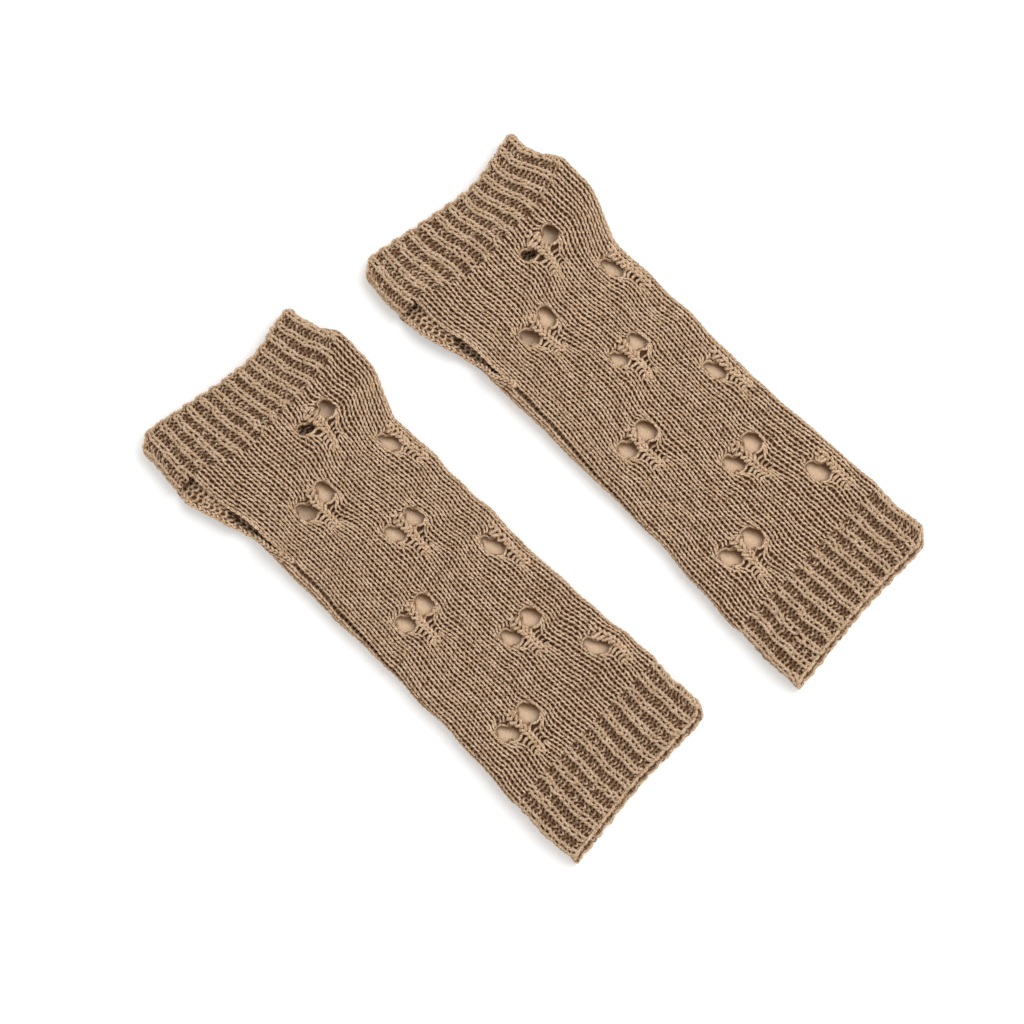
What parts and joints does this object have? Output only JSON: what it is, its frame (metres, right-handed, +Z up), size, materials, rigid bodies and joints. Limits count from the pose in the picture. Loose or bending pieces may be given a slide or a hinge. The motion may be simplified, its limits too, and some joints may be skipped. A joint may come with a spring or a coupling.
{
  "type": "fingerless gloves",
  "caption": "Pair of knitted fingerless gloves lying flat: long plain tubes with ribbed cuffs, paired eyelets in the front and a thumb slit in the side seam.",
  "frame": {"origin": "on the table surface, at the middle of the box round the pair as they lie flat", "axes": "+X across the gloves from the left one to the right one, +Y along the gloves towards the fingers, +Z up out of the table, through the eyelet side"},
  "size_m": [0.215, 0.2738, 0.009],
  "materials": {
    "knit_body": "matte",
    "knit_rib": "matte",
    "edge_yarn": "matte",
    "seam_yarn": "matte"
  },
  "bodies": {
    "left_glove": {"left_front_body": "knit_body", "left_back_body": "knit_body", "left_side_seam": "seam_yarn"},
    "left_hand_cuff": {"left_hand_rib": "knit_rib", "left_hand_edge": "edge_yarn"},
    "left_arm_cuff": {"left_arm_rib": "knit_rib", "left_arm_edge": "edge_yarn"},
    "right_glove": {"right_front_body": "knit_body", "right_back_body": "knit_body", "right_side_seam": "seam_yarn"},
    "right_hand_cuff": {"right_hand_rib": "knit_rib", "right_hand_edge": "edge_yarn"},
    "right_arm_cuff": {"right_arm_rib": "knit_rib", "right_arm_edge": "edge_yarn"}
  },
  "joints": [
    {"name": "left_hand_cuff_fold", "type": "hinge", "parent": "left_glove", "child": "left_hand_cuff", "pos_m": [-0.0595, 0.10145, 0.0098], "axis": [1, 0, 0], "range_deg": [0, 178]},
    {"name": "left_arm_cuff_fold", "type": "hinge", "parent": "left_glove", "child": "left_arm_cuff", "pos_m": [-0.0595, -0.08285, 0.0098], "axis": [-1, 0, 0], "range_deg": [0, 178]},
    {"name": "right_hand_cuff_fold", "type": "hinge", "parent": "right_glove", "child": "right_hand_cuff", "pos_m": [0.0585, 0.08545, 0.0098], "axis": [1, 0, 0], "range_deg": [0, 178]},
    {"name": "right_arm_cuff_fold", "type": "hinge", "parent": "right_glove", "child": "right_arm_cuff", "pos_m": [0.0585, -0.09885, 0.0098], "axis": [-1, 0, 0], "range_deg": [0, 178]},
    {"name": "right_glove_lift", "type": "slide", "parent": "left_glove", "child": "right_glove", "axis": [0, 0, 1], "range_m": [0, 0.08]}
  ]
}
